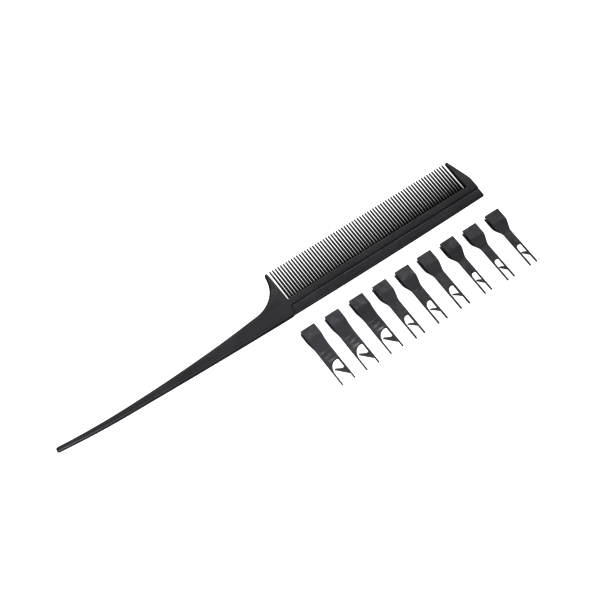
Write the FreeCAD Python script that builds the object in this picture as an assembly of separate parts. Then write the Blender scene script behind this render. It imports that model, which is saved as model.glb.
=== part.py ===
import FreeCAD, Part
import math
import os

# Rat tail comb with nine clip-on section hooks, millimetres, +Z up.
# The comb lies flat: spine along X, tail towards -X, teeth towards +Y.
# The hooks lie in a row on the -Y side, slots facing the comb's spine rail.
# While modelling, Y = 0 is the foot of the step between the spine and its rail,
# and the middle tooth stands just right of X = 0. Everything is shifted at the end
# so that the origin is the middle of the whole set on the surface it lies on.

V = FreeCAD.Vector
UP = V(0, 0, 1)

# ---- comb: driving dimensions -------------------------------------------------
comb_length = 240.0          # tail tip to end face
tooth_count = 67
tooth_pitch = 1.551
tooth_mid_x = 0.78           # the middle tooth of the row
spine_thickness = 3.6
mid_z = spine_thickness / 2  # everything is symmetric about this height
head_end_x = 58.4            # end face of the comb
tip_x = head_end_x - comb_length

tooth_top_y = 20.8           # tips of the teeth
guard_top_y = 20.5           # the guards stand a little lower
gap_floor_y = 3.4            # bottom of the gaps between the teeth
end_gap_floor_y = 3.1        # the first and last gap reach a little deeper
guard_left_x = -52.18        # inner face of the guard at the neck
guard_right_x = 53.78        # inner face of the guard at the free end

gap_root = 0.85              # gap width at the floor and at the tips
gap_tip = 1.00
tooth_root_half = 1.30       # half thickness of the teeth at root and tip
tooth_tip_half = 0.40
tooth_edge_half = 0.20       # each tooth ends in a blunt edge
tooth_nose = 0.40            # length over which a tooth narrows to that edge
tooth_flare = 0.12           # and how much its flanks give way there
guard_tip_half = 1.00        # the guards are thicker than the teeth
guard_thin_y = 5.0           # and thin from here to their tips

rail_half = 1.00             # half thickness of the rail that takes the hooks
rail_depth = 5.20            # from the step to the rail's nose, at mid length
nose_trim = 0.02             # the nose is cut this much inside the plan
rail_start_x = -52.0         # the rail is let into the spine from here on
recess_lean = 0.425          # the recess starts further left towards the nose
step_run = 0.50              # the step from rail to spine is rounded over this
step_foot = 0.06             # and starts this far behind the foot
groove_depth = 0.12          # snap groove along the foot of the step
groove_from = -0.55          # its mouth and floor, across the rail
groove_floor = (-0.40, -0.08)
shoulder_y = 3.40            # the spine's flat ends here
shoulder_run = 0.70          # and drops to the tooth thickness over this

spine_radius = 4050.0        # the lower edge is a long shallow arc
spine_low_x = -4.4           # with its lowest point here
neck_radius = 17.3           # sweep from the guard down to the tail
neck_centre = V(-70.95, 21.45, 0)
neck_low_angle = -85.4       # the sweep runs into the tail here
guard_corner = 0.80          # outer corner of the guard at the neck
free_corner = 0.30           # corner between the end face and the lower edge
face_top_y = 5.6             # the end face stands upright up to here
slope_bend = (58.27, 7.4)    # bends over
slope_low = (57.85, 9.2)     # and slopes straight to the guard's round tip
slope_top = (55.05, 19.5)
guard_tip_bend = (54.75, 20.25)
guard_tip_end = (54.15, guard_top_y)
guard_step = 0.20            # the outline steps up to the teeth this far into the end gaps
blend_x = -130.0             # the tail's lower edge leaves the arc here
tail_tip_side = 1.20         # half width of the tail at its tip, in plan
tail_tip_corner = 0.90       # corners of the tip in plan
tail_tip_half = 1.20         # half thickness of the tail at its tip
tail_taper_x = -62.0         # the tail thins from here to its tip
edge_round = 0.85            # rounding of the neck, tail and guard edges
tail_top = [(-85.0, 2.72), (-108.0, 1.25), (-136.0, 0.45), (-158.0, 0.60)]
tail_low = [(-155.0, -2.42), (-167.0, -1.60)]
tail_tip_y = 0.95            # the tail curls up to this height at its tip
tail_tip_slope = 0.105       # rise of the tail per millimetre at the tip

# ---- hooks: driving dimensions --------------------------------------------------
hook_length = 33.25
hook_height = 3.6
head_half = 3.95             # half width of every head
jaw = 0.70                   # thickness of each jaw
slot_depth = 5.35
slot_lead = 0.25             # chamfer at the mouth of the slot
slot_corner = 0.30           # and at its blind end
jaw_chamfer = 0.15           # outer edges of the jaws at the mouth
ridge_height = 0.08          # small ridges inside the jaws, near the mouth
ridge_from = 0.40
ridge_width = 0.50
head_chamfer = 0.20          # corners of the head in plan
head_flat = 6.2              # the head is full height this far back
head_flat_below = 6.6
taper_share = 0.10           # the flanks bend in and out over this share
plate_start = 12.3           # the head thins to the flat plate here
plate_low = 1.50             # underside and top of the plate and prongs
plate_top = 2.40
arch_corner = 0.70           # largest corner between arch and right prong
dish_depth = 0.22            # the wide hooks have a dished panel
dish_radius = 16.0
dish_length = 8.0
dish_margin = 0.60           # from the start of the plate to the dish

# plan of each size, from the hook's centre line (u) and its mouth (v):
# half widths where the plate starts and at the tips, the flanks (v where the full
# width ends and v of the two bends), prong and arm widths, the arch (u and v of its
# crown, v where it meets the prong), the barb (u and v of its tip, the slope points
# of its upper and lower edge).
sizes = {
    "wide": dict(plate_half=3.62, tip_half=3.70, flank=(5.6, 6.2, 8.8),
                 prong=0.62, arm=0.86,
                 arch_u=1.80, arch_v=20.6, arch_low=27.0,
                 barb_tip=(-1.50, 24.70), barb_round=0.30,
                 barb_upper=(1.60, 26.15), barb_lower=(0.60, 27.45),
                 barb_root=(25.7, 30.1)),
    "medium": dict(plate_half=2.70, tip_half=2.80, flank=(6.4, 7.3, 11.8),
                   prong=0.74, arm=0.95,
                   arch_u=0.90, arch_v=20.6, arch_low=24.9,
                   barb_tip=(-1.25, 24.95), barb_round=0.25,
                   barb_upper=(1.35, 25.95), barb_lower=(0.70, 26.65),
                   barb_root=(25.6, 28.25)),
    "narrow": dict(plate_half=2.10, tip_half=2.20, flank=(6.3, 7.2, 12.0),
                   prong=0.66, arm=0.70,
                   arch_u=0.10, arch_v=20.85, arch_low=23.4,
                   barb_tip=(-0.95, 25.35), barb_round=0.25,
                   barb_upper=(1.05, 26.00), barb_lower=(0.30, 26.95),
                   barb_root=(25.7, 28.4)),
}
per_size = 3
# where the hooks lie: middle of each, and the gap from the step to its mouth
hook_x = [-53.4, -39.7, -25.6, -12.2, 1.05, 14.4, 27.9, 41.05, 54.7]
hook_gap = [14.15, 14.40, 14.15, 14.50, 14.40, 14.20, 14.40, 15.00, 14.80]

over = 1.0                   # how far cutting tools stand past what they cut


def prism(wire, height, direction=UP):
    """Closed wire to a solid, along a direction."""
    return Part.Face(wire).extrude(direction * height)


def polygon(points):
    """Closed wire through a list of vectors."""
    return Part.makePolygon(points + [points[0]])


def flat(point):
    """(x, y) to a vector in the ground plane."""
    return V(point[0], point[1], 0)


def arc(centre, radius, start, stop):
    """Arc in the XY plane, angles in degrees, either way round."""
    spots = []
    for angle in (start, (start + stop) / 2, stop):
        a = math.radians(angle)
        spots.append(centre + V(radius * math.cos(a), radius * math.sin(a), 0))
    return Part.Arc(*spots).toShape()


def line(a, b):
    return Part.LineSegment(a, b).toShape()


def ends(edge):
    """First and last point of an edge, as it was drawn."""
    return edge.valueAt(edge.FirstParameter), edge.valueAt(edge.LastParameter)


# ---- comb -----------------------------------------------------------------------
def spine_y(x):
    """Lower edge of the comb: a long shallow arc."""
    run = x - spine_low_x
    return spine_radius - rail_depth - math.sqrt(spine_radius ** 2 - run ** 2)


def comb_outline():
    """Plan of the comb without its gaps."""
    # free end: upright face, then a straight slope up to the guard's round tip
    corner = V(head_end_x, spine_y(head_end_x), 0)
    corner_in = V(head_end_x - free_corner, spine_y(head_end_x - free_corner), 0)
    corner_up = corner + V(0, free_corner, 0)
    corner_bend = corner + V(-1, 1, 0) * (free_corner * (1 - math.sqrt(0.5)))
    face_top = V(head_end_x, face_top_y, 0)
    left_step = guard_left_x + guard_step
    right_step = guard_right_x - guard_step
    free_end = [
        Part.Arc(corner_in, corner_bend, corner_up).toShape(),
        line(corner_up, face_top),
        Part.Arc(face_top, flat(slope_bend), flat(slope_low)).toShape(),
        line(flat(slope_low), flat(slope_top)),
        Part.Arc(flat(slope_top), flat(guard_tip_bend), flat(guard_tip_end)).toShape(),
        line(flat(guard_tip_end), V(right_step, guard_top_y, 0)),
        line(V(right_step, guard_top_y, 0), V(right_step, tooth_top_y, 0)),
        line(V(right_step, tooth_top_y, 0), V(left_step, tooth_top_y, 0)),
        line(V(left_step, tooth_top_y, 0), V(left_step, guard_top_y, 0)),
    ]
    # guard at the neck: round outer corner, then the sweep down to the tail
    rise = guard_top_y - guard_corner - neck_centre.y
    neck_high_angle = math.degrees(math.asin(rise / neck_radius))
    sweep = arc(neck_centre, neck_radius, neck_high_angle, neck_low_angle)
    sweep_top, sweep_low = ends(sweep)
    guard_top = V(sweep_top.x + guard_corner, guard_top_y, 0)
    round_centre = V(guard_top.x, sweep_top.y, 0)
    guard_bend = round_centre + V(-1, 1, 0) * (guard_corner * math.sqrt(0.5))
    # tail: upper edge, blunt tip with round corners, lower edge
    down = V(-1, -math.tan(math.radians(90 + neck_low_angle)), 0)
    curl = V(-1, tail_tip_slope, 0).normalize()
    side = V(-curl.y, curl.x, 0)
    spread = tail_tip_side - tail_tip_corner
    tip_centre = V(tip_x + tail_tip_corner - side.x * spread, tail_tip_y, 0)
    corner_out = (curl - side).normalize() * tail_tip_corner
    corner_back = (curl + side).normalize() * tail_tip_corner
    tip_upper = tip_centre - side * tail_tip_side
    tip_lower = tip_centre + side * tail_tip_side
    tip_high = tip_centre - side * spread
    tip_deep = tip_centre + side * spread
    face_high = tip_high + curl * tail_tip_corner
    face_deep = tip_deep + curl * tail_tip_corner
    upper = Part.BSplineCurve()
    upper.interpolate(
        Points=[sweep_low] + [flat(point) for point in tail_top] + [tip_upper],
        InitialTangent=down, FinalTangent=curl)
    tip = [
        Part.Arc(tip_upper, tip_high + corner_out, face_high).toShape(),
        line(face_high, face_deep),
        Part.Arc(face_deep, tip_deep + corner_back, tip_lower).toShape(),
    ]
    blend = V(blend_x, spine_y(blend_x), 0)
    blend_slope = (blend.x - spine_low_x) / spine_radius
    lower = Part.BSplineCurve()
    lower.interpolate(
        Points=[tip_lower] + [flat(point) for point in reversed(tail_low)] + [blend],
        InitialTangent=curl * -1, FinalTangent=V(1, blend_slope, 0))
    neck_foot = V(rail_start_x, spine_y(rail_start_x), 0)
    left_mid = (blend.x + neck_foot.x) / 2
    right_mid = (neck_foot.x + corner_in.x) / 2
    edges = [
        Part.Arc(neck_foot, V(right_mid, spine_y(right_mid), 0), corner_in).toShape(),
        *free_end,
        line(V(left_step, guard_top_y, 0), guard_top),
        Part.Arc(guard_top, guard_bend, sweep_top).toShape(),
        sweep,
        upper.toShape(),
        *tip,
        lower.toShape(),
        Part.Arc(blend, V(left_mid, spine_y(left_mid), 0), neck_foot).toShape(),
    ]
    return Part.Wire(Part.__sortEdges__(edges))


def mirrored_section(half_points, x):
    """Section in the YZ plane: (y, half thickness) points, mirrored about mid_z."""
    top = [V(x, y, mid_z + h) for y, h in half_points]
    low = [V(x, y, mid_z - h) for y, h in reversed(half_points)]
    return polygon(top + low)


def rail_points():
    """Rail with its snap groove, and the rounded step up to the spine."""
    lip = min(step_run, mid_z - rail_half)
    points = [
        (-rail_depth - over, rail_half),
        (groove_from, rail_half),
        (groove_floor[0], rail_half - groove_depth),
        (groove_floor[1], rail_half - groove_depth),
        (0.0, rail_half),
        (step_foot, mid_z - lip),
    ]
    for angle in (22.5, 45.0, 67.5, 90.0):
        a = math.radians(angle)
        points.append((step_foot + lip * (1 - math.cos(a)), mid_z - lip + lip * math.sin(a)))
    return points


def bowed_face(near, bend, far, plane):
    """Closed outline: thick and flat up to one point, then thinning on a tangent curve.

    near, bend and far are (place, half thickness); plane turns (place, z) into a vector.
    """
    (place_0, half_0), (place_1, half_1), (place_2, half_2) = near, bend, far
    half_mid = half_1 - (half_1 - half_2) / 4
    middle = (place_1 + place_2) / 2
    upper = [plane(place_0, mid_z + half_0), plane(place_1, mid_z + half_1),
             plane(middle, mid_z + half_mid), plane(place_2, mid_z + half_2)]
    lower = [plane(place_0, mid_z - half_0), plane(place_1, mid_z - half_1),
             plane(middle, mid_z - half_mid), plane(place_2, mid_z - half_2)]
    return Part.Wire([
        line(upper[0], upper[1]),
        Part.Arc(*upper[1:]).toShape(),
        line(upper[3], lower[3]),
        Part.Arc(*reversed(lower[1:])).toShape(),
        line(lower[1], lower[0]),
        line(lower[0], upper[0]),
    ])


def neck_blank():
    """Thickness of the neck, the guard beside it and the tail."""
    along_y = bowed_face((-rail_depth - over, mid_z), (guard_thin_y, mid_z),
                         (guard_top_y + over, guard_tip_half),
                         lambda y, z: V(tip_x - over, y, z))
    guard = prism(along_y, rail_start_x - tip_x + over, V(1, 0, 0))
    along_x = bowed_face((head_end_x, mid_z), (tail_taper_x, mid_z),
                         (tip_x - over, tail_tip_half),
                         lambda x, z: V(x, -rail_depth - over, z))
    reach = tooth_top_y + rail_depth + 2 * over
    return guard.common(prism(along_x, reach, V(0, 1, 0)))


def recess_start():
    """The two leaning corners taken out of the neck, where the rail begins."""
    low_y = -rail_depth - over
    plan = [V(rail_start_x + over, 0, 0), V(rail_start_x, 0, 0),
            V(rail_start_x + recess_lean * low_y, low_y, 0),
            V(rail_start_x + over, low_y, 0)]
    corners = []
    for z in (-over, mid_z + rail_half):
        corner = prism(polygon(plan), mid_z - rail_half + over)
        corner.translate(V(0, 0, z))
        corners.append(corner)
    return corners


def head_blank():
    """Thickness of the toothed head and of the guard at the free end."""
    teeth = rail_points() + [
        (shoulder_y, mid_z),
        (shoulder_y + shoulder_run, tooth_root_half),
        (tooth_top_y - tooth_nose, tooth_tip_half),
        (tooth_top_y, tooth_edge_half),
    ]
    guard = rail_points() + [(guard_thin_y, mid_z), (guard_top_y, guard_tip_half)]
    join_x = guard_right_x - gap_tip / 2
    along = V(1, 0, 0)
    middle = prism(mirrored_section(teeth, rail_start_x), join_x - rail_start_x, along)
    right = prism(mirrored_section(guard, join_x), head_end_x + over - join_x, along)
    return middle.fuse(right)


def rail_nose():
    """What is cut off the rail so that its edge is a round nose along the arc."""
    centre = V(spine_low_x, spine_radius - rail_depth, 0)
    tip = V(spine_low_x, nose_trim - rail_depth, mid_z)
    first_x = rail_start_x - recess_lean * (rail_depth - rail_half)
    back = math.degrees((first_x - spine_low_x) / spine_radius)
    turn = math.degrees((head_end_x + over - spine_low_x) / spine_radius)
    sink = rail_half * (1 - math.sqrt(0.5))
    cutters = []
    for side in (1, -1):
        across = V(0, 0, side)
        far = tip + V(0, rail_half, 0) + across * rail_half
        bend = tip + V(0, sink, 0) + across * (rail_half - sink)
        high = across * mid_z
        outside = V(0, -over, 0)
        face = Part.Face(Part.Wire([
            Part.Arc(tip, bend, far).toShape(),
            line(far, far + high),
            line(far + high, tip + outside + across * rail_half + high),
            line(tip + outside + across * rail_half + high, tip + outside),
            line(tip + outside, tip),
        ]))
        face.rotate(centre, UP, back)
        cutters.append(face.revolve(centre, UP, turn - back))
    return cutters


def gap_cutter(x, floor_y, root, tip):
    """One gap between two teeth: round floor, straight flanks, flared mouth."""
    r = root / 2
    floor = V(x, floor_y, 0)
    start = V(r, 0, 0)
    mouth = V(tip / 2, 0, 0)
    flare = V(tip / 2 + tooth_flare, 0, 0)
    low = V(x, floor_y + r, 0)
    high = V(x, tooth_top_y - tooth_nose, 0)
    top = V(x, tooth_top_y, 0)
    above = V(x, tooth_top_y + over, 0)
    rim = [low + start, high + mouth, top + flare, above + flare,
           above - flare, top - flare, high - mouth, low - start]
    outline = [line(a, b) for a, b in zip(rim, rim[1:])]
    outline.append(Part.Arc(low - start, floor, low + start).toShape())
    cutter = prism(Part.Wire(outline), spine_thickness + 2 * over)
    cutter.translate(V(0, 0, -over))
    return cutter


def gap_cutters():
    """The gaps between teeth, and the two end gaps beside the guards."""
    reach = (tooth_count - 1) / 2 * tooth_pitch
    first_x, last_x = tooth_mid_x - reach, tooth_mid_x + reach
    cutters = []
    for i in range(tooth_count - 1):
        cutters.append(gap_cutter(first_x + (i + 0.5) * tooth_pitch, gap_floor_y,
                                  gap_root, gap_tip))
    tooth_root = tooth_pitch - gap_root
    for inner, outer in ((first_x - tooth_root / 2, guard_left_x),
                         (last_x + tooth_root / 2, guard_right_x)):
        width = abs(outer - inner)
        grow = gap_tip - gap_root
        cutters.append(gap_cutter((inner + outer) / 2, end_gap_floor_y, width, width + grow))
    return cutters


def round_edges(solid):
    """Round the long outer edges of the tail, the neck and the guard beside it."""
    thin = 0.01
    chosen = []
    for edge in solid.Edges:
        box = edge.BoundBox
        upright = box.ZLength > mid_z / 2
        across = box.XLength < thin
        inner = box.YLength < thin / 10
        tip = box.YMin > guard_top_y - 2 * guard_corner
        if not (upright or across or inner or tip):
            chosen.append(edge)
    return solid.makeFillet(edge_round, chosen)


def comb_body():
    plan = prism(comb_outline(), spine_thickness + 2 * over)
    plan.translate(V(0, 0, -over))
    neck = round_edges(neck_blank().common(plan).removeSplitter())
    head = head_blank().common(plan)
    whole = neck.cut(recess_start()).fuse(head).removeSplitter()
    return whole.cut(rail_nose() + gap_cutters())


# ---- hooks ----------------------------------------------------------------------
def hook_side():
    """Side of a hook: head with its slot, and the plate, as a prism across the head."""
    slot_low = jaw
    slot_top = hook_height - jaw
    ridge_mid = ridge_from + ridge_width / 2
    ridge_to = ridge_from + ridge_width
    points = [
        (0.0, jaw_chamfer), (jaw_chamfer, 0.0), (head_flat_below, 0.0),
        (plate_start, plate_low), (hook_length, plate_low),
        (hook_length, plate_top), (plate_start, plate_top),
        (head_flat, hook_height), (jaw_chamfer, hook_height),
        (0.0, hook_height - jaw_chamfer),
        (0.0, slot_top + slot_lead), (slot_lead, slot_top),
        (ridge_from, slot_top), (ridge_mid, slot_top - ridge_height), (ridge_to, slot_top),
        (slot_depth - slot_corner, slot_top), (slot_depth, slot_top - slot_corner),
        (slot_depth, slot_low + slot_corner), (slot_depth - slot_corner, slot_low),
        (ridge_to, slot_low), (ridge_mid, slot_low + ridge_height), (ridge_from, slot_low),
        (slot_lead, slot_low), (0.0, slot_low - slot_lead),
    ]
    width = head_half + over
    wire = polygon([V(-width, -v, z) for v, z in points])
    return prism(wire, 2 * width, V(1, 0, 0))


def hook_plan(size):
    """Plan of a hook with its prongs, without the arch between them."""
    half = size["plate_half"]
    tip = size["tip_half"]
    r = size["prong"] / 2
    full_to, bend_from, bend_to = size["flank"]
    bend = taper_share * (head_half - half)
    right = [
        (head_half - head_chamfer, 0.0), (head_half, head_chamfer), (head_half, full_to),
        (head_half - bend, bend_from), (half + bend, bend_to),
        (half, plate_start + head_chamfer), (tip, hook_length - r),
        (tip - r / 2, hook_length),
    ]
    left = [(-u, v) for u, v in reversed(right)]
    wire = polygon([V(u, -v, 0) for u, v in right + left])
    return prism(wire, hook_height)


def hook_opening(size):
    """The eye under the arch and the mouth below it, around the barb."""
    inner = size["tip_half"] - size["prong"]
    arm = size["tip_half"] - size["arm"]
    # arch: a quarter of an ellipse from its crown down to the left prong
    crown = V(size["arch_u"], -size["arch_v"], 0)
    centre = V(size["arch_u"], -size["arch_low"], 0)
    rise = size["arch_low"] - size["arch_v"]
    reach = size["arch_u"] + inner
    spots = [crown]
    for angle in (100, 120, 140, 160, 180):
        a = math.radians(angle)
        spots.append(centre + V(reach * math.cos(a), rise * math.sin(a), 0))
    arch = Part.BSplineCurve()
    arch.interpolate(Points=spots, InitialTangent=V(-1, 0, 0), FinalTangent=V(0, -1, 0))
    # round corner between the arch and the right prong
    corner = min(arch_corner, (arm - size["arch_u"]) * 0.8)
    corner_from = V(arm - corner, crown.y, 0)
    corner_to = V(arm, crown.y - corner, 0)
    corner_sink = corner * (1 - math.sqrt(0.5))
    corner_mid = V(arm - corner_sink, crown.y - corner_sink, 0)
    # barb: rooted on the right prong, round at its tip
    upper_root, lower_root = size["barb_root"]
    r = size["barb_round"]
    tip = V(size["barb_tip"][0], -size["barb_tip"][1], 0)
    upper = V(size["barb_upper"][0], -size["barb_upper"][1], 0)
    lower = V(size["barb_lower"][0], -size["barb_lower"][1], 0)
    nose_up = tip + V(0.5, 0.87, 0) * r
    nose = tip + V(-0.87, 0.5, 0) * r
    nose_low = tip + V(-0.6, -0.8, 0) * r
    below = -hook_length - over
    edges = [
        arch.toShape(),
        line(spots[-1], V(-inner, below, 0)),
        line(V(-inner, below, 0), V(inner, below, 0)),
        line(V(inner, below, 0), V(inner, -lower_root, 0)),
        line(V(inner, -lower_root, 0), lower),
        line(lower, nose_low),
        Part.Arc(nose_low, nose, nose_up).toShape(),
        line(nose_up, upper),
        line(upper, V(arm, -upper_root, 0)),
        line(V(arm, -upper_root, 0), corner_to),
        Part.Arc(corner_to, corner_mid, corner_from).toShape(),
        line(corner_from, crown),
    ]
    return prism(Part.Wire(edges), hook_height)


def dish():
    """Shallow spoon-shaped panel in the top of a wide hook."""
    half = math.sqrt(2 * dish_radius * dish_depth)
    start = -plate_start - dish_margin
    tube = Part.makeCylinder(dish_radius, dish_length, V(0, start, 0), V(0, -1, 0))
    tube.translate(V(0, 0, plate_top - dish_depth + dish_radius))
    window = Part.makeBox(2 * half, dish_length, hook_height)
    window.translate(V(-half, start - dish_length, 0))
    return tube.common(window)


def hook(kind):
    size = sizes[kind]
    solid = hook_side().common(hook_plan(size)).cut(hook_opening(size))
    if kind == "wide":
        solid = solid.cut(dish())
    return solid


# ---- the whole set ----------------------------------------------------------------
def hook_names():
    return [f"{kind}_hook_{n + 1}" for kind in sizes for n in range(per_size)]


def origin_shift():
    """From the modelling origin to the middle of the set."""
    right = max(head_end_x, hook_x[-1] + head_half)
    low = -max(hook_gap) - hook_length
    return V(-(tip_x + right) / 2, -(low + tooth_top_y) / 2, 0)


def build():
    shift = origin_shift()
    solids = {"comb_body": comb_body()}
    masters = {kind: hook(kind) for kind in sizes}
    for index, name in enumerate(hook_names()):
        solid = masters[name.split("_")[0]].copy()
        solid.translate(V(hook_x[index], -hook_gap[index], 0))
        solids[name] = solid
    for name, solid in solids.items():
        solid.translate(shift)
    return solids


def main():
    os.makedirs("parts", exist_ok=True)
    for name, solid in build().items():
        box = solid.BoundBox
        print(f"{name}: valid {solid.isValid()}, solids {len(solid.Solids)}, "
              f"volume {solid.Volume:.1f}, "
              f"x {box.XMin:.2f}..{box.XMax:.2f}, y {box.YMin:.2f}..{box.YMax:.2f}, "
              f"z {box.ZMin:.2f}..{box.ZMax:.2f}")
        solid.exportStep(f"parts/{name}.step")


main()
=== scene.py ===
import math

import bmesh
import bpy
import numpy as np
from mathutils import Matrix, Vector, geometry


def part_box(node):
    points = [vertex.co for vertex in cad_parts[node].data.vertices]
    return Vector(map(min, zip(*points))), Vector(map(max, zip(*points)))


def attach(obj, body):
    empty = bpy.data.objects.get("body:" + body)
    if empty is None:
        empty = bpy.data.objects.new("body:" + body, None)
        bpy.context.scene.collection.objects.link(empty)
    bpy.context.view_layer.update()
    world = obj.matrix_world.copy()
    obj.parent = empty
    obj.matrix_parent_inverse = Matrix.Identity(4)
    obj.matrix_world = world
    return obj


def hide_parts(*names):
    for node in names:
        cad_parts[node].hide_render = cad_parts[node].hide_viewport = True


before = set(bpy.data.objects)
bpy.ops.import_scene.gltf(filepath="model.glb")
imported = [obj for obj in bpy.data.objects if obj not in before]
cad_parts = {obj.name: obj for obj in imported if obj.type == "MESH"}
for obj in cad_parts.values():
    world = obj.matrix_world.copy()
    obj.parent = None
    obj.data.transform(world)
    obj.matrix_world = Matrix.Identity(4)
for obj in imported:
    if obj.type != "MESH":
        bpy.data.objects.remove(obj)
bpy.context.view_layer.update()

# Rat tail comb with nine clip-on section hooks. Every piece is made here as a closed mesh
# with rounded rims and takes the place of its CAD node. Lengths in the tables are millimetres;
# x, y of the comb are counted from a point on the foot of the step above its rail, just left
# of the middle tooth, and (u, v) of a hook from its centre line and its mouth.

MM = 0.001

# ---- comb sizes -----------------------------------------------------------------------
END_X = 58.4                 # end face
TOP_Y = 20.8                 # tips of the teeth
GUARD_TOP_Y = 20.5           # and of the guards
comb_low, comb_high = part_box("comb_body")
COMB_ORIGIN = (comb_high.x / MM - END_X, comb_high.y / MM - TOP_Y)
TIP_X = comb_low.x / MM - COMB_ORIGIN[0]
HALF = (comb_high.z - comb_low.z) / MM / 2
MID_Z = HALF                 # the comb lies on z = 0

TEETH = 67
PITCH = 1.551
MIDDLE_X = 0.78              # the middle tooth
GAP_FLOOR = 3.4              # lowest point of a gap
END_GAP_FLOOR = 3.1          # and of the gaps beside the guards
GUARD_LEFT = -52.18          # flanks of the guards, on the side of the teeth
GUARD_RIGHT = 53.78
GAP_ROOT = 0.85
GAP_TIP = 1.00
NOSE_Y = 20.40               # a tooth's flanks are straight up to here
TOOTH_ROOT_HALF = 1.30       # half thickness above the shoulder,
TOOTH_TIP_HALF = 0.40        # at NOSE_Y,
TOOTH_EDGE_HALF = 0.20       # and at the very tip
TOOTH_CROWN = 0.10           # share by which a tooth is thinner a quarter pitch off its middle
GUARD_TIP_HALF = 1.00
GUARD_THIN_Y = 5.0           # the guards get thinner from here up
LEFT_GUARD_BOW = 1.7         # power of that taper on the guard beside the neck

RAIL_HALF = 1.00
RAIL_DEPTH = 5.20
RAIL_START = -52.0           # left wall of the rail's recess, at the foot of the step
RECESS_LEAN = 0.425          # lean of that wall, x per y
RECESS_STRETCH = math.hypot(1, RECESS_LEAN)
STEP_FOOT = 0.06
STEP_RUN = 0.50              # radius of the step's lip
ROUND_END_X = 55.4           # from here on the mesh of the rail's nose closes in on its corner
NOSE_RIMS = (0.95, 0.75, 0.56, 0.42, 0.32, 0.26, 0.22)      # its rounding, on the way there
GROOVE = ((0.08, 0.0), (0.14, 0.08), (0.40, 0.08), (0.55, 0.0))     # (below the step, depth)
SHOULDER = (3.30, 4.20)      # the spine runs out into the teeth between these
LIP_ROWS = (-0.56, -0.37, -0.21, -0.10, -0.06, 0.0)     # mesh rows over the lip, by depth

ARC_RADIUS = 4050.0          # the lower edge is a very flat arc
ARC_LOW_X = -4.4
NECK_CENTRE = (-70.95, 21.45)
NECK_RADIUS = 17.3
NECK_LOW_ANGLE = -85.4
GUARD_CORNER = 0.80
# points on the tail's two edges, between the neck and the tip
TAIL_TOP = ((-85.0, 2.72), (-108.0, 1.25), (-136.0, 0.45), (-158.0, 0.60))
TAIL_LOW = ((-155.0, -2.42), (-167.0, -1.60))
BLEND_X = -130.0             # the tail's lower edge leaves the arc here
TAIL_TIP_SIDE = 1.20         # half width of the tail's blunt tip, in plan
TAIL_TIP_CORNER = 0.90
TAIL_TIP_HALF = 1.20         # half thickness there
TAIL_TIP_Y = 0.95
TAIL_TIP_SLOPE = 0.105
TAPER_X = -62.0              # the tail gets thinner from here on
TAPER_BOW = 1.5

END_CORNER = 0.30            # the free end, from its lower corner up to the tip of its guard
END_FACE = (-3.2, -2.0, -1.0, -0.55, -0.40, -0.14, -0.08, 0.0, 0.06, 0.10, 0.21, 0.37, 0.56,
            1.5, 2.5, 3.6, 4.6, 5.6)
END_BEND = ((0.06, 6.6), (0.20, 7.6), (0.42, 8.5), (0.68, 9.4))     # (back from END_X, y)
END_SLOPE = ((57.35, 10.85), (55.05, 19.3))
END_NOSE = ((54.93, 19.70), (54.76, 20.08), (54.50, 20.36), (54.22, 20.49), (54.02, 20.44),
            (53.88, 20.25))

BODY_RIM = 0.85              # rounding of the tail, the neck and the guard beside it
WALL_RIM = 0.95              # rounding of the lower edge where the recess starts
TOOTH_RIM = 0.14
TOOTH_DROPS = (0.42, 0.18)   # height of a tooth's rounding, at its root and at its tip
GAP_DROP = 0.30              # and at the floor of a gap
GUARD_RIM = 0.25             # rounding of the free end
END_NOSE_RIM = 0.20          # and of its guard's tip

# ---- hook sizes -----------------------------------------------------------------------
HOOK_LENGTH = 33.25
HOOK_HEIGHT = 3.6
HEAD_HALF = 3.95             # half width of the head
HEAD_CORNER = 0.2
JAW = 0.70                   # thickness of a jaw
SLOT_DEPTH = 5.35
SLOT_ROUND = 0.3             # rounding of the slot's blind end
SLOT_LEAD = 0.25             # its lead-in
SLOT_RIDGE = 0.08            # height of the small ridge in each jaw
SLOT_EDGE = 0.07             # its broken edges
HEAD_FLAT = 6.2              # the head slopes down from here
PLATE_START = 12.3           # to the flat plate, which lies from PLATE_LOW to PLATE_TOP
PLATE_LOW = 1.50
PLATE_TOP = 2.40
DISH = dict(depth=0.18, half=2.9, start=(12.6, 13.9), end=(18.6, 20.8))   # on the wide hooks
HOOK_RIM = 0.14
ARM_BEND = 0.7
# half, tip: half width of the plate and of the prongs' ends; flank: where the head's width
# narrows to the plate's; prong: width of the prongs; arm: of the right one above the barb;
# arch: its (u, v) and the v of its left foot; barb: (u, v) and radius of its point; upper,
# lower: bends in its two edges; root: v where those meet the right prong
HOOK_SIZES = {
    "wide": dict(half=3.62, tip=3.70, flank=(5.2, 9.6), prong=0.62, arm=0.86,
                 arch=(1.80, 20.6, 27.0), barb=(-1.50, 24.70, 0.30), upper=(1.60, 26.15),
                 lower=(0.60, 27.45), root=(25.7, 30.1)),
    "medium": dict(half=2.70, tip=2.80, flank=(6.0, 13.0), prong=0.74, arm=0.95,
                   arch=(0.90, 20.6, 24.9), barb=(-1.25, 24.95, 0.25), upper=(1.35, 25.95),
                   lower=(0.70, 26.65), root=(25.6, 28.25)),
    "narrow": dict(half=2.10, tip=2.20, flank=(6.0, 13.3), prong=0.66, arm=0.70,
                   arch=(0.10, 20.85, 23.4), barb=(-0.95, 25.35, 0.25), upper=(1.05, 26.00),
                   lower=(0.30, 26.95), root=(25.7, 28.4)),
}
PER_SIZE = 3

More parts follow.
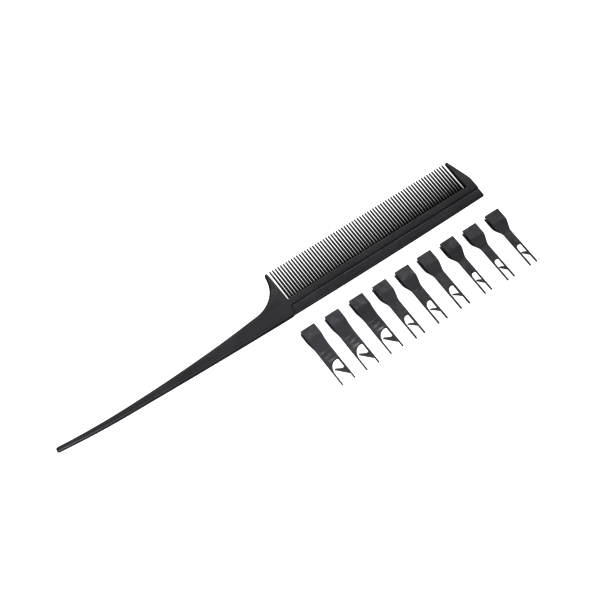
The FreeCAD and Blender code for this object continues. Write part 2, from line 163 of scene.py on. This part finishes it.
SAME = 1e-4                  # a place this close to the recess counts as in it
WELD = 2e-6                  # metres; mesh points closer than this become one
FILL_GAP = 0.12              # points of a plate's fill keep this far from its rim and lines
MITRE = 0.7                  # least cosine that a corner's mitre is worked out with


# ---- small helpers --------------------------------------------------------------------
def arc_points(centre, radius, start, stop, count):
    """Points on an arc from one angle to another, both ends included."""
    angles = np.radians(np.linspace(start, stop, count))
    return [(centre[0] + radius * math.cos(a), centre[1] + radius * math.sin(a)) for a in angles]


def hermite(points, first, last, step):
    """Smooth curve through points with given end directions, sampled about every step."""
    p = np.array(points, float)
    reach = np.linalg.norm(p[1:] - p[:-1], axis=1)
    slopes = [np.array(first, float)]
    for i in range(1, len(p) - 1):
        before, after = (p[i] - p[i - 1]) / reach[i - 1], (p[i + 1] - p[i]) / reach[i]
        slopes.append((before * reach[i] + after * reach[i - 1]) / (reach[i] + reach[i - 1]))
    slopes.append(np.array(last, float))
    out = [tuple(p[0])]
    for i, length in enumerate(reach):
        count = max(2, int(length / step))
        for k in range(1, count + 1):
            t = k / count
            spot = ((1 + 2 * t) * (1 - t) ** 2 * p[i] + t * (1 - t) ** 2 * length * slopes[i]
                    + t * t * (3 - 2 * t) * p[i + 1] + t * t * (t - 1) * length * slopes[i + 1])
            out.append(tuple(spot))
    return out


def smooth(a, b, x):
    """0 below a, 1 above b, and a smooth climb between."""
    t = min(1.0, max(0.0, (x - a) / (b - a)))
    return t * t * (3 - 2 * t)


def steps(values, x):
    """Straight lines between (place, value) pairs."""
    places, heights = zip(*values)
    return float(np.interp(x, places, heights))


# ---- a plate with rounded rims --------------------------------------------------------
def inside(points, loop):
    """Which points lie inside a closed loop."""
    x, y = points[:, 0][:, None], points[:, 1][:, None]
    a, b = loop, np.roll(loop, -1, axis=0)
    spans = (a[:, 1] > y) != (b[:, 1] > y)
    rise = np.where(a[:, 1] == b[:, 1], 1.0, b[:, 1] - a[:, 1])
    hits = x < a[:, 0] + (y - a[:, 1]) / rise * (b[:, 0] - a[:, 0])
    return (spans & hits).sum(axis=1) % 2 == 1


def plate(name, rim, top, low, lines, fill, rings=4, snap=0.06):
    """Closed mesh over a plan outline.

    rim: the outline anticlockwise, one (x, y, inward, drop, lean) each: the rim is rounded
    over that width and that height, its columns leaning along the edge by lean.
    top, low: height of the two faces at (x, y). lines: polylines the mesh follows, their
    points moved onto the rim's inner edge where closer to it than snap.
    fill: further points; those outside, or close to the rim or a line, are dropped.
    """
    rim = np.array(rim, float)
    spots, width, drop, lean = rim[:, :2], rim[:, 2:3], rim[:, 3], rim[:, 4:5]
    ahead = np.roll(spots, -1, axis=0) - spots
    ahead /= np.linalg.norm(ahead, axis=1)[:, None]
    behind = np.roll(ahead, 1, axis=0)
    along = ahead + behind
    along /= np.linalg.norm(along, axis=1)[:, None]
    inward = np.stack([-along[:, 1], along[:, 0]], axis=1)
    mitre = 1 / np.clip((inward * np.stack([-ahead[:, 1], ahead[:, 0]], axis=1)).sum(axis=1),
                        MITRE, 1)
    inward = inward * mitre[:, None] + lean * along
    inner = spots + width * inward
    count = len(rim)

    nodes = [Vector(p) for p in inner]
    edges = [(i, (i + 1) % count) for i in range(count)]
    for line in lines:
        previous = None
        for spot in line:
            near = np.linalg.norm(inner - np.array(spot), axis=1)
            index = int(near.argmin())
            if near[index] > snap:
                index = len(nodes)
                nodes.append(Vector(spot))
            if previous is not None and index != previous:
                edges.append((previous, index))
            previous = index
    fill = np.array(fill, float)
    known = np.array([tuple(v) for v in nodes])
    for spot in fill[inside(fill, inner)]:
        if np.linalg.norm(known - spot, axis=1).min() > FILL_GAP:
            nodes.append(Vector(spot))
    out, _, faces, origin, _, _ = geometry.delaunay_2d_cdt(nodes, edges, [], 1, 1e-6)

    verts, polys = [], []
    for side, height in ((1, top), (-1, low)):
        base = len(verts)
        level = np.array([height(x, y) for x, y in inner])
        for ring in range(rings + 1):
            turn = math.radians(90 * ring / rings)
            place = spots + width * (1 - math.cos(turn)) * inward
            z = level - side * drop * (1 - math.sin(turn))
            verts += [(x, y, h) for (x, y), h in zip(place, z)]
        index_of = []
        for spot, known in zip(out, origin):
            on_rim = [i for i in known if i < count]
            if on_rim:
                index_of.append(base + rings * count + on_rim[0])
            else:
                index_of.append(len(verts))
                verts.append((spot.x, spot.y, height(spot.x, spot.y)))
        for ring in range(rings):
            a, b = base + ring * count, base + (ring + 1) * count
            for i in range(count):
                j = (i + 1) % count
                quad = (a + i, a + j, b + j, b + i)
                polys.append(quad if side > 0 else quad[::-1])
        for face in faces:
            (ax, ay), (bx, by), (cx, cy) = (out[i] for i in face)
            turned = (bx - ax) * (cy - ay) - (by - ay) * (cx - ax) > 0
            face = [index_of[i] for i in face]
            polys.append(face if turned == (side > 0) else face[::-1])
        if side > 0:
            upper = base
        else:
            for i in range(count):
                j = (i + 1) % count
                polys.append((base + i, base + j, upper + j, upper + i))

    mesh = bpy.data.meshes.new(name)
    mesh.from_pydata([Vector(v) * MM for v in verts], [], polys)
    piece = bpy.data.objects.new(name, mesh)
    bpy.context.scene.collection.objects.link(piece)
    return piece


def tidy_mesh(piece):
    """Welds what meets, drops what has no area, and shades smooth up to a real edge."""
    bm = bmesh.new()
    bm.from_mesh(piece.data)
    bmesh.ops.remove_doubles(bm, verts=bm.verts, dist=WELD)
    bmesh.ops.dissolve_degenerate(bm, edges=bm.edges, dist=WELD / 2)
    bmesh.ops.join_triangles(bm, faces=[f for f in bm.faces if len(f.verts) == 3],
                             angle_face_threshold=math.radians(1.0),
                             angle_shape_threshold=math.radians(50.0))
    bmesh.ops.recalc_face_normals(bm, faces=bm.faces)
    bm.to_mesh(piece.data)
    bm.free()
    piece.data.shade_smooth()
    piece.data.set_sharp_from_angle(angle=math.radians(38))
    weighted = piece.modifiers.new("weighted", "WEIGHTED_NORMAL")
    weighted.keep_sharp = True
    weighted.weight = 60


# ---- comb -----------------------------------------------------------------------------
def spine_y(x):
    """Lower edge of the comb."""
    return ARC_RADIUS - RAIL_DEPTH - math.sqrt(ARC_RADIUS ** 2 - (x - ARC_LOW_X) ** 2)


WALL_LOW_Y = spine_y(RAIL_START - 2) + WALL_RIM     # the recess's wall ends in the rim here


def nose_half(run):
    """Half thickness of the rail's round nose, by the distance from its edge."""
    back = max(0.0, RAIL_HALF - run)
    return math.sqrt(max(0.0, RAIL_HALF ** 2 - back ** 2))


def recess_depth(x, y):
    """Distances into the recess that leaves the rail: from its step, and from its left wall."""
    return -y, (x - RAIL_START - RECESS_LEAN * y) / RECESS_STRETCH


# the lip's rounding: (distance out of the recess, drop)
STEP_LIP = tuple((STEP_FOOT + STEP_RUN * (1 - math.cos(math.radians(a))),
                  STEP_RUN * (1 - math.sin(math.radians(a)))) for a in (0, 22.5, 45, 67.5, 90))


def comb_half(x, y):
    """Half thickness of the comb at a place in its plan."""
    if x < GUARD_LEFT + 0.2 or y > SHOULDER[0] and x > GUARD_RIGHT - 0.6:
        # neck, tail and guards
        half = HALF
        if y > GUARD_THIN_Y:
            share = (y - GUARD_THIN_Y) / (GUARD_TOP_Y - GUARD_THIN_Y)
            bow = share if x > 0 else share ** LEFT_GUARD_BOW
            half = HALF + (GUARD_TIP_HALF - HALF) * bow
        if x < TAPER_X:
            share = (TAPER_X - x) / (TAPER_X - TIP_X)
            half = min(half, HALF + (TAIL_TIP_HALF - HALF) * share ** TAPER_BOW)
    elif y > SHOULDER[0]:
        blend = smooth(SHOULDER[0], SHOULDER[1], y)
        wedge = steps(((SHOULDER[1], TOOTH_ROOT_HALF), (NOSE_Y, TOOTH_TIP_HALF),
                       (TOP_Y, TOOTH_EDGE_HALF)), y)
        tooth = MIDDLE_X + round((x - MIDDLE_X) / PITCH) * PITCH
        crown = 1 - TOOTH_CROWN * blend * ((x - tooth) / (PITCH / 4)) ** 2
        return (HALF + (wedge - HALF) * blend) * crown
    else:
        half = HALF
    below, from_wall = recess_depth(x, y)
    depth = min(below, from_wall)
    if depth > -SAME:
        groove = steps(GROOVE, below)
        half = RAIL_HALF - groove * smooth(0.1, 0.5, from_wall)
        return min(half, nose_half(y - spine_y(x))) if x > ROUND_END_X else half
    if depth > -STEP_LIP[-1][0]:
        return half - steps(STEP_LIP, -depth)
    return half


def tooth_tip(x, rim):
    """Round tip of a tooth, from right to left."""
    half = (PITCH - GAP_TIP) / 2
    shape = ((half, NOSE_Y - 0.1), (half * 0.92, NOSE_Y + 0.14), (half * 0.62, TOP_Y - 0.09),
             (half * 0.24, TOP_Y - 0.01))
    for u, y in shape + tuple((-u, y) for u, y in reversed(shape)):
        rim.append((x + u, y, 0.10, 0.11, 0))


def gap(x, floor, root, tip, rim):
    """One gap: down its right flank, round its floor, up its left flank."""
    radius = root / 2
    low = floor + radius
    levels = np.linspace(NOSE_Y - 0.6, low, 9)
    for side in (1, -1):
        for y in levels[::side]:
            share = (y - low) / (NOSE_Y - low)
            half = radius + (tip / 2 - radius) * share
            drop = steps(((low, TOOTH_DROPS[0]), (TOP_Y, TOOTH_DROPS[1])), y)
            rim.append((x + side * half, y, TOOTH_RIM, drop, 0))
        if side > 0:
            for px, py in arc_points((x, low), radius, 0, -180, 9)[1:-1]:
                rim.append((px, py, TOOTH_RIM, GAP_DROP, 0))


def comb_rim():
    """Outline of the comb, anticlockwise from the neck's lower edge."""
    rim = []

    def add(points, inward, drop=None, lean=0.0):
        rim.extend((x, y, inward, inward if drop is None else drop, lean) for x, y in points)

    # lower edge: neck, the leaning start of the recess, rail
    for x in np.arange(BLEND_X + 3, RAIL_START - 4, 3.0):
        add([(x, spine_y(x))], BODY_RIM)
    wall_x = RAIL_START + RECESS_LEAN * WALL_LOW_Y
    for depth in (-1.2, *LIP_ROWS, 0.15, 0.5):
        x = wall_x + depth * RECESS_STRETCH - RECESS_LEAN * WALL_RIM
        add([(x, spine_y(x))], WALL_RIM, None, RECESS_LEAN)
    for x in np.arange(RAIL_START - 0.4, ROUND_END_X, PITCH):
        add([(x, spine_y(x))], RAIL_HALF)
    for x, inward in zip(np.linspace(ROUND_END_X, END_X - 0.38, len(NOSE_RIMS)), NOSE_RIMS):
        add([(x, spine_y(x))], inward, 0.9 * nose_half(inward))
    # free end: corner, face, slope, guard tip
    corner = (END_X - END_CORNER, spine_y(END_X) + END_CORNER)
    add(arc_points(corner, END_CORNER, -75, 0, 4), GUARD_RIM)
    add([(END_X, y) for y in END_FACE], GUARD_RIM)
    add([(END_X - back, y) for back, y in END_BEND], GUARD_RIM)
    add(np.linspace(*END_SLOPE, 7), GUARD_RIM)
    add(END_NOSE, END_NOSE_RIM)
    # teeth, from the right
    reach = (TEETH - 1) / 2 * PITCH
    flank = (PITCH - GAP_ROOT) / 2
    right = MIDDLE_X + reach + flank
    left = MIDDLE_X - reach - flank
    widen = GAP_TIP - GAP_ROOT
    width = GUARD_RIGHT - right
    gap((GUARD_RIGHT + right) / 2, END_GAP_FLOOR, width, width + widen, rim)
    for i in range(TEETH):
        tooth = MIDDLE_X + reach - i * PITCH
        tooth_tip(tooth, rim)
        if i < TEETH - 1:
            gap(tooth - PITCH / 2, GAP_FLOOR, GAP_ROOT, GAP_TIP, rim)
    width = left - GUARD_LEFT
    gap((GUARD_LEFT + left) / 2, END_GAP_FLOOR, width, width + widen, rim)
    # guard at the neck, sweep, tail
    rise = GUARD_TOP_Y - GUARD_CORNER - NECK_CENTRE[1]
    high_angle = math.degrees(math.asin(rise / NECK_RADIUS))
    sweep = arc_points(NECK_CENTRE, NECK_RADIUS, high_angle, NECK_LOW_ANGLE, 26)
    corner_x = sweep[0][0] + GUARD_CORNER
    add([(GUARD_LEFT - 0.25, GUARD_TOP_Y - 0.05)], 0.20)
    add(arc_points((corner_x, GUARD_TOP_Y - GUARD_CORNER), GUARD_CORNER, 90, 170, 5), 0.40)
    for i, spot in enumerate(sweep[1:]):
        add([spot], steps(((0, 0.45), (4, BODY_RIM)), i))
    down = (-1.0, -math.tan(math.radians(90 + NECK_LOW_ANGLE)))
    curl = np.array((-1.0, TAIL_TIP_SLOPE)) / math.hypot(1, TAIL_TIP_SLOPE)
    side = np.array((-curl[1], curl[0]))
    spread = TAIL_TIP_SIDE - TAIL_TIP_CORNER
    centre = np.array((TIP_X + TAIL_TIP_CORNER - side[0] * spread, TAIL_TIP_Y))
    upper_end = centre - side * TAIL_TIP_SIDE
    lower_end = centre + side * TAIL_TIP_SIDE
    add(hermite([sweep[-1], *TAIL_TOP, tuple(upper_end)], down, curl, 3.0)[1:], BODY_RIM)
    heading = math.degrees(math.atan2(curl[1], curl[0]))
    for shift, turn in ((-spread, heading - 90), (spread, heading)):
        bend = arc_points(centre + side * shift, TAIL_TIP_CORNER, turn, turn + 90, 7)
        add(bend[1:] if shift < 0 else bend[:-1], BODY_RIM)
    blend = (BLEND_X, spine_y(BLEND_X))
    slope_end = (1.0, (BLEND_X - ARC_LOW_X) / ARC_RADIUS)
    add(hermite([tuple(lower_end), *reversed(TAIL_LOW), blend], tuple(-curl), slope_end, 3.0),
        BODY_RIM)
    return rim


def comb_lines():
    """Feature lines of the comb: the step with its lip, its left wall, and the groove."""
    lines = []
    columns = [END_X - GUARD_RIM, *np.arange(RAIL_START + 1.2, END_X - 1.0, PITCH)[::-1]]
    for depth in LIP_ROWS:
        wall = [(RAIL_START + RECESS_LEAN * y + depth * RECESS_STRETCH, y)
                for y in np.linspace(-depth, WALL_LOW_Y, 5)]
        lines.append([(x, -depth) for x in columns] + wall)
    for below, _ in GROOVE:
        lines.append([(x, -below) for x in (*columns, RAIL_START + 0.3)])
    return lines


def comb_fill():
    """Further mesh points: rows along the spine, a line up each tooth, a grid elsewhere."""
    spots = []
    for y in (-3.4, -2.6, -1.8, -1.1, 1.1, 1.7, 2.3, 2.8):
        spots += [(x, y) for x in np.arange(RAIL_START + 0.5, END_X - 0.6, PITCH)]
    for x in np.arange(ROUND_END_X, END_X - 0.3, 0.4):
        spots += [(x, spine_y(x) + run) for run in (0.38, 0.52, 0.68, 0.84, 1.0)]
    for i in range(TEETH):
        tooth = MIDDLE_X + ((TEETH - 1) / 2 - i) * PITCH
        spots += [(tooth, y) for y in (3.1, 3.45, 3.8, 4.2)]
        spots += [(tooth, y) for y in np.linspace(5.9, NOSE_Y - 0.3, 8)]
    for x in np.arange(TIP_X + 2.5, GUARD_LEFT + 0.1, 1.6):
        spots += [(x, y) for y in np.arange(-4.0, TOP_Y, 1.3)]
    for x in np.arange(GUARD_RIGHT + 0.6, END_X, 0.9):
        spots += [(x, y) for y in np.arange(3.2, TOP_Y, 1.3)]
    return spots


def make_comb():
    def top(x, y):
        return MID_Z + comb_half(x, y)

    def low(x, y):
        return MID_Z - comb_half(x, y)

    piece = plate("comb", comb_rim(), top, low, comb_lines(), comb_fill())
    shift = Vector((COMB_ORIGIN[0], COMB_ORIGIN[1], 0)) * MM
    piece.data.transform(Matrix.Translation(shift))
    tidy_mesh(piece)
    return piece


# ---- hooks ----------------------------------------------------------------------------
def hook_rows():
    """Distances from the mouth at which mesh rows cross a hook."""
    head = np.arange(0.75, HEAD_FLAT - 0.3, 0.68)
    taper = np.linspace(HEAD_FLAT, PLATE_START, 13)
    return [*head, *taper, PLATE_START + 0.14, *np.arange(PLATE_START + 0.6, 20.2, 0.55)]


def hook_rim(size):
    """Outline of a hook, anticlockwise from the left corner of its mouth, and its half width."""
    tip, prong, length = size["tip"], size["prong"], HOOK_LENGTH
    r = prong / 2
    inner = tip - prong
    arm = tip - size["arm"]
    arch_u, arch_v, arch_low = size["arch"]
    barb_u, barb_v, barb_r = size["barb"]
    upper_root, lower_root = size["root"]

    def half(v):
        narrow = HEAD_HALF + (size["half"] - HEAD_HALF) * smooth(*size["flank"], v)
        return narrow + (tip - size["half"]) * steps(((PLATE_START, 0), (length, 1)), v)

    sides = hook_rows() + list(np.arange(20.6, length - 0.6, 1.0))
    points = arc_points((HEAD_CORNER - HEAD_HALF, -HEAD_CORNER), HEAD_CORNER, 90, 180, 4)
    points += [(-half(v), -v) for v in sides]
    points += arc_points((-tip + r, -length + r), r, 180, 360, 7)
    points += [(-inner, y) for y in np.arange(-length + 1.0, -arch_low - 0.2, 1.0)]
    reach, rise = arch_u + inner, arch_low - arch_v
    for angle in np.linspace(180, 90, 13):
        a = math.radians(angle)
        points.append((arch_u + reach * math.cos(a), -arch_low + rise * math.sin(a)))
    bend = min(ARM_BEND, (arm - arch_u) * 0.8)
    points += arc_points((arm - bend, -arch_v - bend), bend, 90, 0, 5)
    points += [(arm, y) for y in np.arange(-arch_v - bend - 0.8, -upper_root + 0.3, -0.9)]
    points.append((arm, -upper_root))
    upper, lower = size["upper"], size["lower"]
    points.append((upper[0], -upper[1]))
    points += arc_points((barb_u, -barb_v), barb_r, 60, 233, 7)
    points.append((lower[0], -lower[1]))
    points.append((inner, -lower_root))
    points += [(inner, y) for y in np.arange(-lower_root - 0.7, -length + 0.5, -0.9)]
    points += arc_points((tip - r, -length + r), r, 180, 360, 7)
    points += [(half(v), -v) for v in reversed(sides)]
    points += arc_points((HEAD_HALF - HEAD_CORNER, -HEAD_CORNER), HEAD_CORNER, 0, 90, 4)
    points += [(u, 0.0) for u in np.linspace(HEAD_HALF - 1, 1 - HEAD_HALF, 7)]
    return [(x, y, HOOK_RIM, HOOK_RIM, 0) for x, y in points], half


def hook_faces(kind):
    """Heights of a hook's top and underside over its plan."""
    def share(v, start):
        return min(1.0, max(0.0, (v - start) / (PLATE_START - start)))

    def climb(v, start):
        s = share(v, start)
        return 0.45 * s + 0.55 * s * s * (3 - 2 * s)

    def level(fall):
        return HOOK_HEIGHT - (HOOK_HEIGHT - PLATE_TOP) * fall

    def top(x, y):
        return level(climb(-y, HEAD_FLAT))

    def dished_top(x, y):
        v = -y
        s = share(v, HEAD_FLAT)
        z = level(0.6 * s + 0.4 * (1 - math.cos(s * math.pi / 2)))
        if v > PLATE_START:
            along = smooth(*DISH["start"], v) * (1 - smooth(*DISH["end"], v))
            across = max(0.0, 1 - (x / DISH["half"]) ** 2)
            wave = 1 + 0.35 * math.sin(1.9 * (v - PLATE_START) + 0.5 * x)
            z -= DISH["depth"] * along * across * wave
        return z

    def low(x, y):
        return PLATE_LOW * climb(-y, HEAD_FLAT + 0.4)

    return dished_top if kind == "wide" else top, low


def slot_cutter():
    """The slot that takes the rail: lead-in, a small ridge in each jaw, rounded blind end."""
    high = HOOK_HEIGHT - JAW
    crest = high - SLOT_RIDGE
    side = [(-1.0, high + SLOT_LEAD + 1), (0.0, high + SLOT_LEAD), (0.10, high + 0.10),
            (SLOT_LEAD, high), (0.42, high), (0.55, crest), (0.75, crest), (0.90, high)]
    side += arc_points((SLOT_DEPTH - SLOT_ROUND, high - SLOT_ROUND), SLOT_ROUND, 90, 0, 4)
    profile = side + [(v, HOOK_HEIGHT - z) for v, z in reversed(side)]
    reach = HEAD_HALF + 1
    verts = [(x, -v, z) for x in (-reach, reach) for v, z in profile]
    count = len(profile)
    faces = [tuple(range(count - 1, -1, -1)), tuple(range(count, 2 * count))]
    for i in range(count):
        j = (i + 1) % count
        faces.append((i, j, count + j, count + i))
    mesh = bpy.data.meshes.new("slot_cutter")
    mesh.from_pydata([Vector(v) * MM for v in verts], [], faces)
    cutter = bpy.data.objects.new("slot_cutter", mesh)
    bpy.context.scene.collection.objects.link(cutter)
    return cutter


def cut_slot(piece, cutter):
    """Cuts the slot into a hook's head and breaks its sharp edges."""
    cut = piece.modifiers.new("slot", "BOOLEAN")
    cut.operation = "DIFFERENCE"
    cut.solver = "EXACT"
    cut.object = cutter
    graph = bpy.context.evaluated_depsgraph_get()
    mesh = bpy.data.meshes.new_from_object(piece.evaluated_get(graph))
    piece.modifiers.clear()
    piece.data = mesh
    bm = bmesh.new()
    bm.from_mesh(mesh)
    bmesh.ops.remove_doubles(bm, verts=bm.verts, dist=WELD)
    sharp = []
    for edge in bm.edges:
        middle = (edge.verts[0].co + edge.verts[1].co) / 2 / MM
        in_head = -middle.y < SLOT_DEPTH + 0.05 and JAW - 0.3 < middle.z < HOOK_HEIGHT - JAW + 0.3
        if in_head and edge.is_manifold and edge.calc_face_angle() > math.radians(55):
            sharp.append(edge)
    bmesh.ops.bevel(bm, geom=sharp, offset=SLOT_EDGE * MM, segments=2, profile=0.5,
                    affect="EDGES", clamp_overlap=True)
    bm.to_mesh(mesh)
    bm.free()


def make_hook(kind):
    """One hook of a kind, its mouth at y = 0 and its centre line at x = 0."""
    rim, half = hook_rim(HOOK_SIZES[kind])
    top, low = hook_faces(kind)
    lines = []
    for v in hook_rows():
        reach = half(v) - HOOK_RIM
        lines.append([(u, -v) for u in np.linspace(-reach, reach, 10)])
    fill = [(u, -v) for v in np.arange(20.4, 31, 0.5) for u in np.arange(-3.3, 3.4, 0.45)]
    piece = plate(kind + "_master", rim, top, low, lines, fill, rings=3, snap=0.15)
    cutter = slot_cutter()
    cut_slot(piece, cutter)
    bpy.data.objects.remove(cutter)
    return piece


# ---- materials ------------------------------------------------------------------------
# scales of the noise, in waves per metre
CLOUD_SCALE, GLOSS_SCALE, SPECK_SCALE, GRAIN_SCALE, FLOW_SCALE = 55, 160, 900, 3200, 260


def plastic(name, tones, roughness, shine, coat, grain, streak, flow_depth):
    """Moulded black plastic: cloudy tone, uneven gloss, fine grain and faint flow marks.

    streak: how the gloss and the flow marks are stretched, less than 1 is longer.
    """
    material = bpy.data.materials.new(name)
    material.use_nodes = True
    nodes, links = material.node_tree.nodes, material.node_tree.links
    shader = nodes["Principled BSDF"]
    shader.inputs["IOR"].default_value = 1.46
    shader.inputs["Specular IOR Level"].default_value = shine
    shader.inputs["Coat Weight"].default_value = coat
    shader.inputs["Coat Roughness"].default_value = 0.22
    place = nodes.new("ShaderNodeTexCoord").outputs["Object"]

    def noise(scale, stretch=(1, 1, 1), detail=3.0):
        mapping = nodes.new("ShaderNodeMapping")
        mapping.inputs["Scale"].default_value = stretch
        links.new(place, mapping.inputs["Vector"])
        texture = nodes.new("ShaderNodeTexNoise")
        texture.inputs["Scale"].default_value = scale
        texture.inputs["Detail"].default_value = detail
        links.new(mapping.outputs["Vector"], texture.inputs["Vector"])
        return texture.outputs["Fac"]

    def spread(value, low, high):
        ramp = nodes.new("ShaderNodeMapRange")
        ramp.inputs["From Min"].default_value = 0.3
        ramp.inputs["From Max"].default_value = 0.7
        ramp.inputs["To Min"].default_value = low
        ramp.inputs["To Max"].default_value = high
        links.new(value, ramp.inputs["Value"])
        return ramp.outputs["Result"]

    clouds = nodes.new("ShaderNodeValToRGB")
    clouds.color_ramp.elements[0].position = 0.32
    clouds.color_ramp.elements[0].color = (*tones[0], 1)
    clouds.color_ramp.elements[1].position = 0.68
    clouds.color_ramp.elements[1].color = (*tones[1], 1)
    links.new(noise(CLOUD_SCALE), clouds.inputs["Fac"])
    links.new(clouds.outputs["Color"], shader.inputs["Base Color"])

    gloss = nodes.new("ShaderNodeMath")
    gloss.operation = "ADD"
    links.new(spread(noise(GLOSS_SCALE, streak), *roughness), gloss.inputs[0])
    links.new(spread(noise(SPECK_SCALE), -0.03, 0.03), gloss.inputs[1])
    links.new(gloss.outputs[0], shader.inputs["Roughness"])

    fine = nodes.new("ShaderNodeBump")
    fine.inputs["Strength"].default_value = grain
    fine.inputs["Distance"].default_value = 0.02 * MM
    links.new(noise(GRAIN_SCALE, detail=2.0), fine.inputs["Height"])
    flow = nodes.new("ShaderNodeBump")
    flow.inputs["Strength"].default_value = 0.6
    flow.inputs["Distance"].default_value = flow_depth * MM
    links.new(noise(FLOW_SCALE, streak), flow.inputs["Height"])
    links.new(fine.outputs["Normal"], flow.inputs["Normal"])
    links.new(flow.outputs["Normal"], shader.inputs["Normal"])
    return material


comb_plastic = plastic("comb_plastic", tones=((0.024, 0.024, 0.026), (0.035, 0.035, 0.039)),
                       roughness=(0.30, 0.44), shine=0.25, coat=0.0, grain=0.5,
                       streak=(0.4, 1, 1), flow_depth=0.14)
hook_plastic = plastic("hook_plastic", tones=((0.030, 0.029, 0.033), (0.044, 0.042, 0.048)),
                       roughness=(0.26, 0.40), shine=0.5, coat=0.15, grain=0.12,
                       streak=(1, 0.5, 1), flow_depth=0.55)


# ---- pieces ---------------------------------------------------------------------------
comb = make_comb()
comb.data.materials.append(comb_plastic)
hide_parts("comb_body")
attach(comb, "comb")

for kind in HOOK_SIZES:
    master = make_hook(kind)
    for n in range(PER_SIZE):
        name = f"{kind}_hook_{n + 1}"
        low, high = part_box(name)
        place = Vector(((low.x + high.x) / 2, high.y, low.z))
        hook = bpy.data.objects.new(name + "_moulding", master.data.copy())
        bpy.context.scene.collection.objects.link(hook)
        hook.data.transform(Matrix.Translation(place))
        tidy_mesh(hook)
        hook.data.materials.append(hook_plastic)
        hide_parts(name)
        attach(hook, name)
    bpy.data.objects.remove(master)


# ---- floor, light and camera ----------------------------------------------------------
def soft_light(name, spot, aim, size, power):
    """A square soft box looking at a point."""
    lamp = bpy.data.lights.new(name, "AREA")
    lamp.size = size
    lamp.energy = power
    box = bpy.data.objects.new(name, lamp)
    box.location = spot
    box.visible_camera = False
    box.rotation_euler = (Vector(aim) - Vector(spot)).to_track_quat("-Z", "Y").to_euler()
    bpy.context.scene.collection.objects.link(box)


# a white floor that glows like paper in a light tent; it lies just clear of the undersides and
# is hidden from mirror-like reflections, so the teeth stay dark between the white gaps
FLOOR_HALF = 30.0
FLOOR_Z = -0.0001
FLOOR_GREY = 0.25
FLOOR_GLOW = 0.95
mesh = bpy.data.meshes.new("floor")
corners = ((-1, -1), (1, -1), (1, 1), (-1, 1))
mesh.from_pydata([(x * FLOOR_HALF, y * FLOOR_HALF, FLOOR_Z) for x, y in corners], [],
                 [(0, 1, 2, 3)])
floor = bpy.data.objects.new("floor", mesh)
bpy.context.scene.collection.objects.link(floor)
floor.visible_glossy = False
white = bpy.data.materials.new("floor_white")
white.use_nodes = True
paper = white.node_tree.nodes["Principled BSDF"].inputs
paper["Base Color"].default_value = (FLOOR_GREY, FLOOR_GREY, FLOOR_GREY, 1)
paper["Roughness"].default_value = 0.9
paper["Specular IOR Level"].default_value = 0.1
paper["Emission Color"].default_value = (1, 1, 1, 1)
paper["Emission Strength"].default_value = FLOOR_GLOW
mesh.materials.append(white)

# the light round about: white from above, dark from below
WORLD_LIGHT = 0.85
world = bpy.data.worlds.new("studio")
world.use_nodes = True
sky, wire = world.node_tree.nodes, world.node_tree.links
direction = sky.new("ShaderNodeTexCoord")
split = sky.new("ShaderNodeSeparateXYZ")
wire.new(direction.outputs["Generated"], split.inputs[0])
fade = sky.new("ShaderNodeValToRGB")
fade.color_ramp.elements[0].position = 0.42
fade.color_ramp.elements[0].color = (0.05, 0.05, 0.05, 1)
fade.color_ramp.elements[1].position = 0.62
fade.color_ramp.elements[1].color = (1, 1, 1, 1)
halfway = sky.new("ShaderNodeMath")
halfway.operation = "MULTIPLY_ADD"
halfway.inputs[1].default_value = 0.5
halfway.inputs[2].default_value = 0.5
wire.new(split.outputs["Z"], halfway.inputs[0])
wire.new(halfway.outputs[0], fade.inputs["Fac"])
wire.new(fade.outputs["Color"], sky["Background"].inputs["Color"])
sky["Background"].inputs["Strength"].default_value = WORLD_LIGHT
scene = bpy.context.scene
scene.world = world
scene.view_settings.view_transform = "Standard"
scene.view_settings.gamma = 0.60     # an exponent of 1 / 0.60 on the finished picture

soft_light("key", (0.27, -0.62, 0.85), aim=(0, 0, 0), size=0.45, power=6.5)
soft_light("back", (0.42, 0.78, 0.80), aim=(0.04, 0, 0), size=0.45, power=10.0)
soft_light("tail", (-0.15, -0.13, 0.11), aim=(-0.09, 0.01, 0), size=0.12, power=1.0)

# the camera looks at TARGET from DISTANCE metres, turned and raised by these angles
TARGET = Vector((13.935, 13.545, 2.8)) * MM
DISTANCE = 0.9324
TURN, RISE = math.radians(-35.36), math.radians(62.22)
FOCAL_LENGTH = 119.05
away = Vector((math.sin(TURN) * math.cos(RISE), -math.cos(TURN) * math.cos(RISE),
               math.sin(RISE)))
lens = bpy.data.cameras.new("camera")
lens.lens = FOCAL_LENGTH
lens.sensor_width = 36
lens.clip_end = 20
camera = bpy.data.objects.new("camera", lens)
camera.location = TARGET + DISTANCE * away
camera.rotation_euler = (-away).to_track_quat("-Z", "Y").to_euler()
scene.collection.objects.link(camera)
scene.camera = camera
